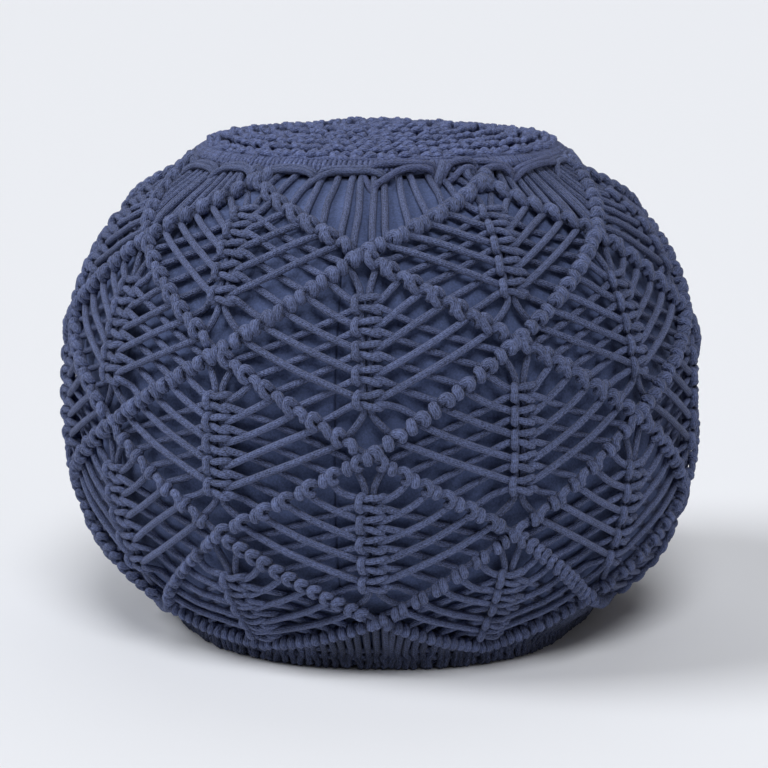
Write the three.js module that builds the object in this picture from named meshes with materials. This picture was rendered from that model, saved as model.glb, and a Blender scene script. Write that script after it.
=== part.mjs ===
// Round floor pouf in knotted cotton cord, filled and standing on its flat underside.
// Millimetres, +Z up, origin at the middle of the underside. The view of reference looks along +Y.
//
// Pieces, from the inside out:
//   inner_bag     filled bag of plain cotton cloth, its underside flat on the floor
//   macrame_net   one-piece knotted net round the side, diamonds of knotted ridges with a
//                 column of square knots up the middle of each, turned under at the floor
//   header_ring   the bundle of cords laid round the rim, which the net hangs from
//   crochet_top   the crocheted disc that closes the top
//   lacing_cord   the cord that laces the disc to the header
import * as THREE from 'three';

// Outer size and cord
const WIDTH = 450;
const CORD = 5.2;

// Layers, measured inwards from the outer form
const NET_THICKNESS = 14;
const LAYER_GAP = 1.2;
const GROUND_DEPTH = 6;
const COLUMN_DEPTH = 1;
const FAN_DEPTH = 9;

// Outer form of the net, from the floor up to the header: radius over height
const SIDE_FORM = [
  { z: 0, r: 150 },
  { z: 10, r: 160 },
  { z: 50, r: 199 },
  { z: 90, r: 217 },
  { z: 129, r: 224 },
  { z: 169, r: WIDTH / 2 },
  { z: 209, r: 221 },
  { z: 248, r: 207 },
  { z: 288, r: 183 },
  { z: 318, r: 144 },
];

// Outer form of the crocheted disc, from its edge in to the crown
const DISC_FORM = [
  { z: 324.5, r: 131 },
  { z: 330, r: 125 },
  { z: 335, r: 116 },
  { z: 338, r: 104 },
  { z: 341, r: 80 },
  { z: 344, r: 40 },
  { z: 345, r: 0 },
];
const DISC_THICKNESS = 9;

// Header ring and lacing
const HEADER = { width: 13, thickness: 9, clearOfNet: 7.2 };
const LACING = { waves: 7, swing: 2.4, lift: 3.2, inset: 0.6, endGap: 0.02 };

// The bag's underside
const BAG_FOOT_RADIUS = 140;
const NET_FOOT_RADIUS = 141;

// Lattice of ridges: repeats round the pouf, and the height at which the ridges cross in each row.
// A crossing's place round the pouf is counted in half repeats from the one nearest the view.
const REPEATS = 7;
const STEPS_ROUND = 2 * REPEATS;
const FIRST_TURN = -2.2;
const ROWS = [
  { row: -1, z: 318 },
  { row: 0, z: 283 },
  { row: 1, z: 223 },
  { row: 2, z: 161 },
  { row: 3, z: 100 },
  { row: 4, z: 39 },
  { row: 5, z: 10 },
];
const TOP_ROW = -1;
const LAST_ROW = 5;

// Crossings that sit off the even lattice: degrees round, and millimetres up
const SHIFTS = [
  { row: -1, step: -1, turn: -8, rise: 0 },
  { row: -1, step: 1, turn: 5, rise: 0 },
  { row: 0, step: -2, turn: -2.4, rise: -2 },
  { row: 0, step: 0, turn: -1.4, rise: -1 },
  { row: 0, step: 2, turn: 1.4, rise: 4 },
  { row: 1, step: -1, turn: -0.5, rise: -4 },
  { row: 1, step: 1, turn: 0.3, rise: 5 },
  { row: 2, step: -2, turn: 0.5, rise: -1 },
  { row: 2, step: 0, turn: 0.5, rise: -3 },
  { row: 2, step: 2, turn: -0.3, rise: 8 },
  { row: 3, step: -1, turn: -0.7, rise: -1 },
  { row: 3, step: 1, turn: -0.4, rise: 2 },
  { row: 4, step: -2, turn: 4, rise: -1 },
  { row: 4, step: 0, turn: 2, rise: 4 },
  { row: 4, step: 2, turn: -3, rise: 3 },
  { row: 5, step: -1, turn: -2, rise: -1 },
  { row: 5, step: 1, turn: 0, rise: 2 },
];
const HIDDEN_TURN = 1.2;
const HIDDEN_RISE = 2.5;

// Facets
const CELL_PARTS = 4;
const BAG_SEGMENTS = 28;
const DISC_SEGMENTS = 28;
const LACING_STEPS = 77;
const LACING_SIDES = 6;
const HEADER_SIDES = 8;

const radians = (degrees) => THREE.MathUtils.degToRad(degrees);
const point2 = ({ r, z }) => new THREE.Vector2(r, z);
const sideCurve = new THREE.SplineCurve(SIDE_FORM.map(point2));
const sideSamples = sideCurve.getSpacedPoints(600);

// Share of the side curve's length, from the floor, at which it reaches a height
function shareAtHeight(z) {
  const above = sideSamples.findIndex((p) => p.y >= z);
  if (above <= 0) return 0;
  const low = sideSamples[above - 1];
  const high = sideSamples[above];
  return (above - 1 + (z - low.y) / (high.y - low.y)) / (sideSamples.length - 1);
}

// A point of the side curve, moved inwards along its normal
function sidePoint(share, depth) {
  const t = THREE.MathUtils.clamp(share, 0, 1);
  const p = sideCurve.getPointAt(t);
  const along = sideCurve.getTangentAt(t);
  return new THREE.Vector2(p.x - depth * along.y, p.y + depth * along.x);
}

// Soft unevenness of the filled form: two slow waves round it and a fuller lower right side.
// It fades out at the floor and at the rim, where the form is held flat and round.
function unevenness(turn, z) {
  const fade = Math.sin(Math.PI * THREE.MathUtils.clamp(z / 330, 0, 1));
  const waves = 0.0035 * Math.sin(2 * turn + 0.6) + 0.003 * Math.sin(3 * turn + 2);
  const awayFromRight = Math.sin(turn) > 0 ? Math.sin(turn) ** 4 : 0;
  const lowBulge = 0.02 * awayFromRight * Math.exp(-(((z - 50) / 40) ** 2));
  return 1 + fade * waves + fade * lowBulge;
}

// Turn 0 faces the view, along -Y, and a positive turn goes to +X
function roundPlace(r, z, turn) {
  const reach = r * unevenness(turn, z);
  return new THREE.Vector3(reach * Math.sin(turn), -reach * Math.cos(turn), z);
}

const rowShare = new Map(ROWS.map(({ row, z }) => [row, shareAtHeight(z)]));
const wrapStep = (step) => ((step % STEPS_ROUND) + STEPS_ROUND) % STEPS_ROUND;
const shiftAt = new Map(SHIFTS.map((s) => [`${s.row}/${wrapStep(s.step)}`, s]));

// One crossing of the lattice: its turn in radians and its share of the side curve.
// Past the first and last rows the lattice goes on at the same spacing.
function crossing(row, step) {
  if (row < TOP_ROW || row > LAST_ROW) {
    const edge = row < TOP_ROW ? TOP_ROW : LAST_ROW;
    const inner = 2 * edge - row;
    const share = 2 * rowShare.get(edge) - rowShare.get(inner);
    return { turn: radians(FIRST_TURN + (180 / REPEATS) * step), share };
  }
  const place = wrapStep(step);
  const known = shiftAt.get(`${row}/${place}`);
  const turn = known ? known.turn : HIDDEN_TURN * Math.sin(2.1 * place + 1.7 * row);
  const rise = known ? known.rise : HIDDEN_RISE * Math.sin(1.3 * place + 2.3 * row);
  const held = row === TOP_ROW ? 0 : rise;
  const height = ROWS.find((entry) => entry.row === row).z + held;
  return { turn: radians(FIRST_TURN + (180 / REPEATS) * step + turn), share: shareAtHeight(height) };
}

// A place of the lattice between crossings: even blends along both families of ridges.
// Ridges lie where (step + row) / 2 or (step - row) / 2 is a whole number.
function latticePlace(step, row) {
  const a = (step + row) / 2;
  const b = (step - row) / 2;
  const a0 = Math.floor(a + 1e-9);
  const b0 = Math.floor(b + 1e-9);
  const place = { turn: 0, share: 0 };
  for (const [da, db] of [[0, 0], [1, 0], [0, 1], [1, 1]]) {
    const weight = (da ? a - a0 : 1 - a + a0) * (db ? b - b0 : 1 - b + b0);
    if (weight > 1e-9) {
      const corner = crossing(a0 + da - b0 - db, a0 + da + b0 + db);
      place.turn += weight * corner.turn;
      place.share += weight * corner.share;
    }
  }
  return place;
}

// Depth of the net's surface below the outer form, by column and line of its grid:
// ridges stand highest, then the knot columns, then the floats, and the header's fans lie lowest
function netDepth(column, line) {
  const period = 2 * CELL_PARTS;
  const fromTop = line - CELL_PARTS;
  const onRidge = (column + fromTop) % period === 0 || (column - fromTop) % period === 0;
  if (onRidge) return 0;
  const stepWhole = column % CELL_PARTS === 0;
  const nearestRow = Math.round(fromTop / CELL_PARTS);
  const middleOfDiamond = (column / CELL_PARTS + nearestRow) % 2 !== 0;
  if (stepWhole && middleOfDiamond && nearestRow >= 0 && nearestRow < LAST_ROW) return COLUMN_DEPTH;
  const stepsFromFan = Math.abs(((column + CELL_PARTS) % period) - CELL_PARTS);
  const inFan = line + stepsFromFan < CELL_PARTS;
  return inFan ? FAN_DEPTH : GROUND_DEPTH;
}

// The gaps: two grid cells high and one wide, each side of every knot column
function isGap(column, line) {
  const row = Math.floor((line + 1) / CELL_PARTS) - 1;
  const nearMiddle = (line + 1) % CELL_PARTS < 2;
  if (!nearMiddle || row < 0 || row >= LAST_ROW) return false;
  return [0, 1].some((side) => {
    const middle = Math.round((column + (side ? -1 : 2)) / CELL_PARTS);
    const offset = column - CELL_PARTS * middle;
    return offset === (side ? 1 : -2) && (middle + row) % 2 !== 0;
  });
}

// The net as one closed grid: an outer skin, an inner skin, and walls round its two edges and its gaps
function netGeometry() {
  const columns = STEPS_ROUND * CELL_PARTS;
  const lines = (LAST_ROW - TOP_ROW) * CELL_PARTS + 1;
  const positions = [];
  const innerDepth = NET_THICKNESS - LAYER_GAP;
  for (const inner of [false, true]) {
    for (let line = 0; line <= lines; line += 1) {
      for (let column = 0; column < columns; column += 1) {
        const onFloor = line === lines;
        const { turn, share } = latticePlace(column / CELL_PARTS, TOP_ROW + Math.min(line, lines - 1) / CELL_PARTS);
        const depth = inner ? innerDepth : netDepth(column, line);
        const flat = onFloor ? new THREE.Vector2(inner ? NET_FOOT_RADIUS : SIDE_FORM[0].r, 0) : sidePoint(share, depth);
        positions.push(...roundPlace(flat.x, flat.y, turn).toArray());
      }
    }
  }
  const index = [];
  const skin = (lines + 1) * columns;
  const vertex = (column, line, inner) => (inner ? skin : 0) + line * columns + (column % columns);
  const isOpen = (column, line) => line < 0 || line >= lines || isGap((column + columns) % columns, line);
  const face = (a, b, c, d) => index.push(a, b, c, a, c, d);
  for (let line = 0; line < lines; line += 1) {
    for (let column = 0; column < columns; column += 1) {
      if (isOpen(column, line)) continue;
      const right = column + 1;
      const falling = (Math.floor(column / CELL_PARTS) + Math.floor(line / CELL_PARTS) - 1) % 2 === 0;
      for (const inner of [false, true]) {
        const corners = [
          vertex(column, line, inner),
          vertex(column, line + 1, inner),
          vertex(right, line + 1, inner),
          vertex(right, line, inner),
        ];
        const order = falling ? corners : [corners[1], corners[2], corners[3], corners[0]];
        face(...(inner ? [order[0], order[3], order[2], order[1]] : order));
      }
      const wall = (c0, l0, c1, l1) =>
        face(vertex(c0, l0, true), vertex(c1, l1, true), vertex(c1, l1, false), vertex(c0, l0, false));
      if (isOpen(column - 1, line)) wall(column, line, column, line + 1);
      if (isOpen(right, line)) wall(right, line + 1, right, line);
      if (isOpen(column, line - 1)) wall(right, line, column, line);
      if (isOpen(column, line + 1)) wall(column, line + 1, right, line + 1);
    }
  }
  const geometry = new THREE.BufferGeometry();
  geometry.setAttribute('position', new THREE.Float32BufferAttribute(positions, 3));
  geometry.setIndex(index);
  geometry.computeVertexNormals();
  return geometry;
}

// A solid turned about the upright axis from a profile of radius and height, then made uneven
function turnedGeometry(profile, segments) {
  const geometry = new THREE.LatheGeometry(profile, segments);
  const position = geometry.attributes.position;
  for (let i = 0; i < position.count; i += 1) {
    const r = Math.hypot(position.getX(i), position.getZ(i));
    const turn = Math.atan2(position.getX(i), position.getZ(i));
    const place = roundPlace(r, position.getY(i), turn);
    position.setXYZ(i, place.x, place.y, place.z);
  }
  geometry.computeVertexNormals();
  return geometry;
}

// A profile moved inwards along its normals; points run from the edge to the axis
function insetProfile(points, depth) {
  return points.map((p, i) => {
    const before = points[Math.max(i - 1, 0)];
    const after = points[Math.min(i + 1, points.length - 1)];
    const along = after.clone().sub(before).normalize();
    if (p.x === 0) return new THREE.Vector2(0, p.y - depth);
    return new THREE.Vector2(p.x - depth * along.y, p.y + depth * along.x);
  });
}

// The filled bag: flat foot, full side under the net, crowned top under the disc
function bagGeometry() {
  const side = [];
  for (let row = LAST_ROW; row >= TOP_ROW; row -= 1) {
    side.push(sidePoint(latticeShareOfRow(row), NET_THICKNESS));
  }
  const top = insetProfile(DISC_FORM.map(point2), DISC_THICKNESS + LAYER_GAP);
  const profile = [new THREE.Vector2(0, 0), new THREE.Vector2(BAG_FOOT_RADIUS, 0), ...side, ...top];
  return turnedGeometry(profile, BAG_SEGMENTS);
}

// Share of the side curve at a row or between rows, with no shift
function latticeShareOfRow(row) {
  const low = Math.floor(row);
  const high = Math.min(low + 1, LAST_ROW);
  return THREE.MathUtils.lerp(rowShare.get(low), rowShare.get(high), row - low);
}

// The crocheted disc: its crown above, the bag's crown below
function discGeometry() {
  const over = DISC_FORM.map(point2);
  const under = insetProfile(over, DISC_THICKNESS).reverse();
  return turnedGeometry([...under, ...over], DISC_SEGMENTS);
}

// Place on the header: distance up the slope from the net's top edge, and depth below the outer form
function headerPoint(up, depth) {
  const edge = sidePoint(rowShare.get(TOP_ROW), depth);
  const along = sideCurve.getTangentAt(rowShare.get(TOP_ROW));
  return edge.addScaledVector(along, up);
}

// The header ring: an oval section that lies on the slope between the net and the disc
function headerGeometry() {
  const middle = headerPoint(HEADER.clearOfNet, HEADER.thickness / 2);
  const along = sideCurve.getTangentAt(rowShare.get(TOP_ROW));
  const outward = new THREE.Vector2(along.y, -along.x);
  const profile = [];
  for (let side = 0; side <= HEADER_SIDES; side += 1) {
    const angle = (2 * Math.PI * (side + 0.5)) / HEADER_SIDES;
    profile.push(middle.clone()
      .addScaledVector(outward, (HEADER.thickness / 2) * Math.cos(angle))
      .addScaledVector(along, (HEADER.width / 2) * Math.sin(angle)));
  }
  return turnedGeometry(profile, DISC_SEGMENTS);
}

// The lacing cord: once round the rim over the joint, swinging up onto the disc and down onto the ring
function lacingGeometry() {
  const joint = HEADER.clearOfNet + HEADER.width / 2;
  const points = [];
  for (let step = 0; step <= LACING_STEPS; step += 1) {
    const share = LACING.endGap + (1 - 2 * LACING.endGap) * (step / LACING_STEPS);
    const turn = 2 * Math.PI * (share + 0.5);
    const up = joint + LACING.inset + LACING.swing * Math.sin(LACING.waves * turn);
    const flat = headerPoint(up, -LACING.lift);
    points.push(roundPlace(flat.x, flat.y, turn));
  }
  const section = new THREE.Shape();
  section.absarc(0, 0, CORD / 2, 0, 2 * Math.PI);
  return new THREE.ExtrudeGeometry(section, {
    steps: LACING_STEPS,
    curveSegments: LACING_SIDES,
    extrudePath: new THREE.CatmullRomCurve3(points),
  });
}

function cloth(color, roughness) {
  return new THREE.MeshStandardMaterial({ color, roughness, metalness: 0 });
}

function piece(name, geometry, material) {
  const mesh = new THREE.Mesh(geometry, material);
  mesh.name = name;
  return mesh;
}

const group = new THREE.Group();
group.add(piece('inner_bag', bagGeometry(), cloth('#34405c', 0.95)));
group.add(piece('macrame_net', netGeometry(), cloth('#3a4566', 0.9)));
group.add(piece('header_ring', headerGeometry(), cloth('#3a4566', 0.9)));
group.add(piece('crochet_top', discGeometry(), cloth('#3d4868', 0.9)));
group.add(piece('lacing_cord', lacingGeometry(), cloth('#3f4866', 0.85)));

export default group;
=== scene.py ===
"""Round macrame floor pouf: knotted cotton cord over a filled cloth bag, with a crocheted top.

The net, its knots, the header, the lacing and the crocheted disc are tubes of cord carried along
paths that are worked out on the pouf's own surface. A place on that surface is a turn round the
upright axis, a share of the side curve's length from the floor, and a depth below the outer form.
Metres, +Z up, origin at the middle of the underside, the view of reference looks along +Y.
"""
import math

import bpy
import numpy as np
from bpy.props import FloatProperty, FloatVectorProperty, PointerProperty
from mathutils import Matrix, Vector


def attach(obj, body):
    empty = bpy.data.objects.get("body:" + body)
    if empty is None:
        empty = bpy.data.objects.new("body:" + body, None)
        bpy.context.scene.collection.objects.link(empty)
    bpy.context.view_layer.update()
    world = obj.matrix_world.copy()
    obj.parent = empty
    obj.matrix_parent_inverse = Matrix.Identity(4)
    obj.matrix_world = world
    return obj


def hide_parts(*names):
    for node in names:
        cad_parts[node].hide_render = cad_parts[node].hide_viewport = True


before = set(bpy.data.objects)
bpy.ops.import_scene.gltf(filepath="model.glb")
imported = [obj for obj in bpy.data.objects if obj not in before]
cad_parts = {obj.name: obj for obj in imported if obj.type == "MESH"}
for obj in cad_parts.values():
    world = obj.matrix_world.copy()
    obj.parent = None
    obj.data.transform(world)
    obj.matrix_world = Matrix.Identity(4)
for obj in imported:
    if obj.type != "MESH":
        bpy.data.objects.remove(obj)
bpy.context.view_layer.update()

bl_info = {
    "name": "Macrame floor pouf",
    "version": (1, 0, 0),
    "blender": (4, 5, 0),
    "location": "View3D > Sidebar > Pouf",
    "description": "Builds a round floor pouf in knotted and crocheted cotton cord",
    "category": "Add Mesh",
}

MM = 0.001
TURN = 2 * math.pi

# Outer form of the net from the floor up to the header: height, radius
SIDE_FORM = MM * np.array([
    (0, 160), (10, 167), (50, 200), (90, 217), (129, 224),
    (169, 225), (209, 221), (248, 207), (288, 183), (318, 144),
])

# Outer form of the crocheted disc from its edge in to the crown: height, radius
DISC_FORM = MM * np.array([
    (324.5, 131), (330, 125), (335, 116), (338, 104), (341, 80), (344, 40), (345, 0),
])
DISC_THICKNESS = 9 * MM

# Layers, measured inwards from the outer form
BAG_DEPTH = 14.0 * MM
SHOULDER_DEPTH = 8.2 * MM
LEADER_DEPTH = 7 * MM
IN_FLOAT_DEPTH = 6.2 * MM
OUT_FLOAT_DEPTH = 11.0 * MM
FILLER_DEPTH = 7.2 * MM
UNDER_RIDGE_DEPTH = 9.5 * MM

# Lattice of ridges. A crossing's place round the pouf is counted in half repeats.
REPEATS = 7
STEPS_ROUND = 2 * REPEATS
STEP_DEGREES = 360 / STEPS_ROUND
FIRST_TURN = -2.2
TOP_ROW = -1
LAST_ROW = 5
MIDDLE_ROW = 2
ROW_HEIGHTS = MM * np.array([318, 283, 223, 161, 100, 39, 14])

# How far the first row lies past the rim, and how far the net sags between the last two rows
RIM_RISE = 6 * MM
FOOT_SAG = 5.5 * MM

# Crossings that sit off the even lattice: row, step, degrees round, millimetres up
SHIFTS = [
    (-1, -1, -8, 0), (-1, 1, 5, 0),
    (0, -2, -2.4, -2), (0, 0, -1.4, -1), (0, 2, 1.4, 4),
    (1, -1, -0.5, -4), (1, 1, 0.3, 5),
    (2, -2, 0.5, -1), (2, 0, 0.5, -3), (2, 2, -0.3, 8),
    (3, -1, -0.7, -1), (3, 1, -0.4, 2),
    (4, -2, 0, -13), (4, 0, 2, 1), (4, 2, -3, 0),
    (5, -1, 1, -1), (5, 1, 0.3, -1),
]

# The same for the crossings that the view doesn't show, at most: degrees, millimetres
HIDDEN_TURN = 1.2
HIDDEN_RISE = 2.5

# Ways of the knots along a ridge, as shares of the way from one crossing to the next: the six pairs
# of loops, the pair above them at the rim, and how far a cord may sit off its way
PAIR_WAYS = 0.105 + 0.148 * np.arange(6)
RIM_LOOPS = -0.03
LOOSE_WAY = 0.006

# Square knots up the middle of a diamond: rows from its centre
KNOT_ROWS = np.array([-0.48, -0.25, -0.02, 0.22, 0.46])
COLUMN_LEAN = 0.6


def linear(code):
    """The linear colour of an sRGB hex code: each channel c of 0 to 1 becomes
    c / 12.92 up to 0.04045, and ((c + 0.055) / 1.055) to the power 2.4 above it."""
    channels = [int(code[i:i + 2], 16) / 255 for i in (1, 3, 5)]
    return tuple(c / 12.92 if c <= 0.04045 else ((c + 0.055) / 1.055) ** 2.4 for c in channels)


# Sizes and colours that a user would change


def cord_size(name, use, millimetres):
    """The property for a cord's diameter."""
    return FloatProperty(name=name, description="Diameter of the cord that " + use, min=3 * MM, max=8 * MM,
                         default=millimetres * MM, unit="LENGTH", precision=4)


def dye(name, description, code):
    """The property for a colour, whose default is an sRGB hex code."""
    return FloatVectorProperty(name=name, description=description, subtype="COLOR",
                               default=linear(code), min=0, max=1)


class PoufSizes(bpy.types.PropertyGroup):
    """Sizes of the cords."""

    cord: cord_size("Net cord", "the net is knotted from", 4.7)
    crochet_cord: cord_size("Crochet cord", "the top is crocheted from", 4.6)
    lacing_cord: cord_size("Lacing cord", "laces the top to the net", 4.6)


class PoufColours(bpy.types.PropertyGroup):
    """Colours of the dyed cotton and of the floor."""

    net: dye("Net cord", "Dyed cotton cord of the net", "#555f82")
    top: dye("Crochet cord", "Dyed cotton cord of the crocheted top", "#5c6790")
    lacing: dye("Lacing cord", "Dyed cotton cord of the lacing", "#515a7e")
    bag: dye("Bag cloth", "Dyed cotton cloth of the filled bag", "#536086")
    floor: dye("Floor", "Plain pale floor", "#eaebed")


# The pouf's surface


def bell(x):
    """The bell exp(-x * x), which is 1 at 0 and has almost gone at 2."""
    return np.exp(-(x ** 2))


def catmull_rom(points, count):
    """Smooth curves through rows of points. Between points 1 and 2 of four neighbours the curve is
    the cubic that starts and ends at them with slopes (p2 - p0) / 2 and (p3 - p1) / 2.
    points is (..., n, d), and count places are spaced evenly over the n - 1 stretches."""
    last = points.shape[-2] - 1
    place = np.linspace(0, last, count)
    i = np.minimum(place.astype(int), last - 1)
    w = (place - i)[:, None]
    p0, p1, p2, p3 = (points[..., np.clip(i + k, 0, last), :] for k in (-1, 0, 1, 2))
    s1 = (p2 - p0) / 2
    s2 = (p3 - p1) / 2
    cubic = 2 * p1 - 2 * p2 + s1 + s2
    square = -3 * p1 + 3 * p2 - 2 * s1 - s2
    return ((cubic * w + square) * w + s1) * w + p1


def measured(curve):
    """A curve's points (height, radius), the share of its length at each, its unit tangents and length."""
    steps = np.linalg.norm(np.diff(curve, axis=0), axis=1)
    length = np.append(0, np.cumsum(steps))
    return curve, length / length[-1], unit(np.gradient(curve, axis=0)), length[-1]


def unit(vectors):
    """The vectors at length one."""
    return vectors / np.maximum(np.linalg.norm(vectors, axis=-1, keepdims=True), 1e-12)


SIDE, SIDE_SHARE, SIDE_TANGENT, SIDE_LENGTH = measured(catmull_rom(SIDE_FORM, 2401))
DISC, DISC_SHARE, DISC_TANGENT, DISC_LENGTH = measured(catmull_rom(DISC_FORM, 1201))
FOOT_BEND = 8 * MM


def share_at(height):
    """Share of the side curve's length, from the floor, at which it reaches a height."""
    return np.interp(height, SIDE[:, 0], SIDE_SHARE)


def side_tangent(share):
    """Unit tangent (up, outwards) of the side curve at a share. Below the floor's edge it turns
    level within FOOT_BEND, because there the net is folded under the pouf."""
    up, outwards = (np.interp(share, SIDE_SHARE, v) for v in SIDE_TANGENT.T)
    level = np.clip(-share * SIDE_LENGTH / FOOT_BEND, 0, 1)
    up = up * (1 - level)
    outwards = outwards * (1 - level) + level
    size = np.hypot(up, outwards)
    return up / size, outwards / size


def side_point(share, depth):
    """Height and radius at a share of the side curve, moved inwards by depth along its normal.
    Past the rim the curve goes on straight, and below the floor's edge it goes in level."""
    inside = np.clip(share, 0, 1)
    past = (share - inside) * SIDE_LENGTH
    up, outwards = side_tangent(share)
    over = np.maximum(past, 0)
    height, radius = (np.interp(inside, SIDE_SHARE, v) for v in SIDE.T)
    height = height + over * up
    radius = radius + over * outwards + np.minimum(past, 0)
    return height + depth * outwards, radius - depth * up


# How far the foot reaches past its circle: degrees round, millimetres
FOOT_REACH = np.array([
    (-180, -3), (-130, -4), (-95, -10), (-72, -12), (-58, -9), (-45, -3), (-25, 0), (0, 0), (15, 3),
    (28, 3), (38, 1), (50, -5), (62, -11), (80, -8), (110, -3), (150, -2), (180, -3),
])
FOOT_RADIUS = 160
FOOT_HEIGHT = 22 * MM

# Slow waves round the filled form: share of the radius, waves in one turn, and phase
WAVES = ((0.0035, 2, 0.6), (0.003, 3, 2.0))
WAVES_END = 330 * MM

# Fuller lower right side: share of the radius, height of its middle and half its height
BULGE, BULGE_MIDDLE, BULGE_SPREAD = 0.02, 50 * MM, 40 * MM


def unevenness(turn, height):
    """Factor on the radius of the filled form: slow waves round it and a fuller lower right side,
    which is the fourth power of the sine of the turn times a bell of the height, both fading out at
    the floor and at WAVES_END as half a sine wave, and the uneven reach of the foot, which fades
    out upwards as a bell of the height over FOOT_HEIGHT."""
    degrees = (np.degrees(turn) + 180) % 360 - 180
    reach = np.interp(degrees, FOOT_REACH[:, 0], FOOT_REACH[:, 1]) / FOOT_RADIUS
    fade = np.sin(math.pi * np.clip(height / WAVES_END, 0, 1))
    waves = sum(size * np.sin(count * turn + phase) for size, count, phase in WAVES)
    to_right = np.maximum(np.sin(turn), 0) ** 4
    bulge = BULGE * to_right * bell((height - BULGE_MIDDLE) / BULGE_SPREAD)
    return 1 + fade * (waves + bulge) + reach * bell(height / FOOT_HEIGHT)


def round_place(height, radius, turn):
    """The point at a height, a radius and a turn, where turn 0 faces the view and a positive
    turn goes to +X."""
    reach = radius * unevenness(turn, height)
    return np.stack([reach * np.sin(turn), -reach * np.cos(turn), height + 0 * reach], axis=-1)


def on_side(places):
    """Points of the pouf's side for places (..., 3) given as turn, share and depth."""
    turn, share, depth = np.moveaxis(places, -1, 0)
    return round_place(*side_point(share, depth), turn)


def outward(up, outwards, turn):
    """Unit outward normal at a turn where the form's tangent is (up, outwards)."""
    return np.stack([up * np.sin(turn), -up * np.cos(turn), -outwards], axis=-1)


def crossing_shifts():
    """Two tables over row and step: how far each crossing is turned and raised off the even lattice.
    Hidden crossings follow slow sine waves, and the known ones are set from their own list."""
    rows = np.arange(TOP_ROW, LAST_ROW + 1)[:, None]
    steps = np.arange(STEPS_ROUND)[None, :]
    turn = HIDDEN_TURN * np.sin(2.1 * steps + 1.7 * rows)
    rise = HIDDEN_RISE * np.sin(1.3 * steps + 2.3 * rows)
    for row, step, degrees, millimetres in SHIFTS:
        turn[row - TOP_ROW, step % STEPS_ROUND] = degrees
        rise[row - TOP_ROW, step % STEPS_ROUND] = millimetres
    rise[0] = 0
    return np.radians(turn), rise * MM


SHIFT_TURN, SHIFT_RISE = crossing_shifts()


def crossing(row, step):
    """Turn and share of lattice crossings, for whole-number arrays row and step.
    Past the first and last rows the lattice goes on at the same spacing."""
    held = np.clip(row, TOP_ROW, LAST_ROW)
    inside = held == row
    turn_shift, rise = (np.where(inside, table[held - TOP_ROW, step % STEPS_ROUND], 0)
                        for table in (SHIFT_TURN, SHIFT_RISE))
    turn = np.radians(FIRST_TURN + STEP_DEGREES * step) + turn_shift
    share = share_at(ROW_HEIGHTS[held - TOP_ROW] + rise) + (row == TOP_ROW) * RIM_RISE / SIDE_LENGTH
    mirrored = share_at(ROW_HEIGHTS[np.clip(2 * held - row, TOP_ROW, LAST_ROW) - TOP_ROW])
    return turn, np.where(inside, share, 2 * share - mirrored)


def on_lattice(a, b):
    """Turn and share at lattice coordinates a and b, stacked last: an even blend of the four
    crossings round the place, less a parabola of height FOOT_SAG between the last two rows, where
    the net hangs under its own weight. a - b is the row and a + b the step, and ridges lie where
    a or b is a whole number."""
    a, b = np.broadcast_arrays(np.asarray(a, float), np.asarray(b, float))
    a0, b0 = (np.floor(v + 1e-9).astype(int) for v in (a, b))
    place = np.zeros(a.shape + (2,))
    for da in (0, 1):
        for db in (0, 1):
            weight = (a - a0 if da else 1 - a + a0) * (b - b0 if db else 1 - b + b0)
            turn, share = crossing(a0 + da - b0 - db, a0 + da + b0 + db)
            place += weight[..., None] * np.stack([turn, share], axis=-1)
    into_last = np.clip(a - b - LAST_ROW + 1, 0, 1)
    place[..., 1] -= 4 * into_last * (1 - into_last) * FOOT_SAG / SIDE_LENGTH
    return place


def crossings(rows, odd_step):
    """Lattice coordinates a and b of a crossing in each repeat of each row. An even row starts at
    step 0 and an odd one at odd_step."""
    rows, repeats = np.meshgrid(rows, np.arange(REPEATS), indexing="ij")
    steps = 2 * repeats + odd_step * (rows % 2)
    return ((steps + rows) / 2).ravel(), ((steps - rows) / 2).ravel()


def on_ridge(a, b, side, way):
    """Turn and share a way down the ridge that leaves the crossing at a and b: side is 1 for the
    falling ridge, which goes down to the right, and -1 for the rising one, which goes down to the
    left. It is also a diamond's upper edge on that side, under its top corner."""
    return on_lattice(a + way, b) if side > 0 else on_lattice(a, b - way)


def on_lower_edge(a, b, side, way):
    """Turn and share a way down the lower edge, on the left, -1, or on the right, 1, of the diamond
    whose left corner is at a and b."""
    right = side > 0
    return on_ridge(a + right, b + right, -side, way)


def with_depth(place, depth):
    """Places (..., 3) from turn and share (..., 2) and a depth."""
    depth = np.broadcast_to(depth, place.shape[:-1])
    return np.concatenate([place, depth[..., None]], axis=-1)


def round_scale(share):
    """Metres for one radian of turn, and metres for one whole share, at a share."""
    radius = side_point(share, LEADER_DEPTH)[1]
    return np.stack([radius, np.full_like(radius, SIDE_LENGTH)], axis=-1)


def knot_axes(a, b):
    """The five square knots of each diamond, as arrays (diamonds, 5): their places, and the steps in
    turn and share that go one metre right and one metre up by the diamond's upright middle line.
    The column leans by COLUMN_LEAN of the lean of that line."""
    reach = 0.05
    a = a[:, None] + 0.5 + KNOT_ROWS / 2
    b = b[:, None] + 0.5 - KNOT_ROWS / 2
    here = on_lattice(a, b)
    scale = round_scale(here[..., 1])
    up = unit((on_lattice(a - reach, b + reach) - on_lattice(a + reach, b - reach)) * scale)
    right = np.stack([up[..., 1], -up[..., 0]], axis=-1)
    middle = here[:, :, 0].mean(axis=1, keepdims=True)
    here[:, :, 0] = middle + COLUMN_LEAN * (here[:, :, 0] - middle)
    return here, right / scale, up / scale


def upright_axes(here):
    """A place with the steps in turn and share that go one metre right and one metre up."""
    scale = round_scale(here[..., 1])
    return here, np.array([1.0, 0.0]) / scale, np.array([0.0, 1.0]) / scale


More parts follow.
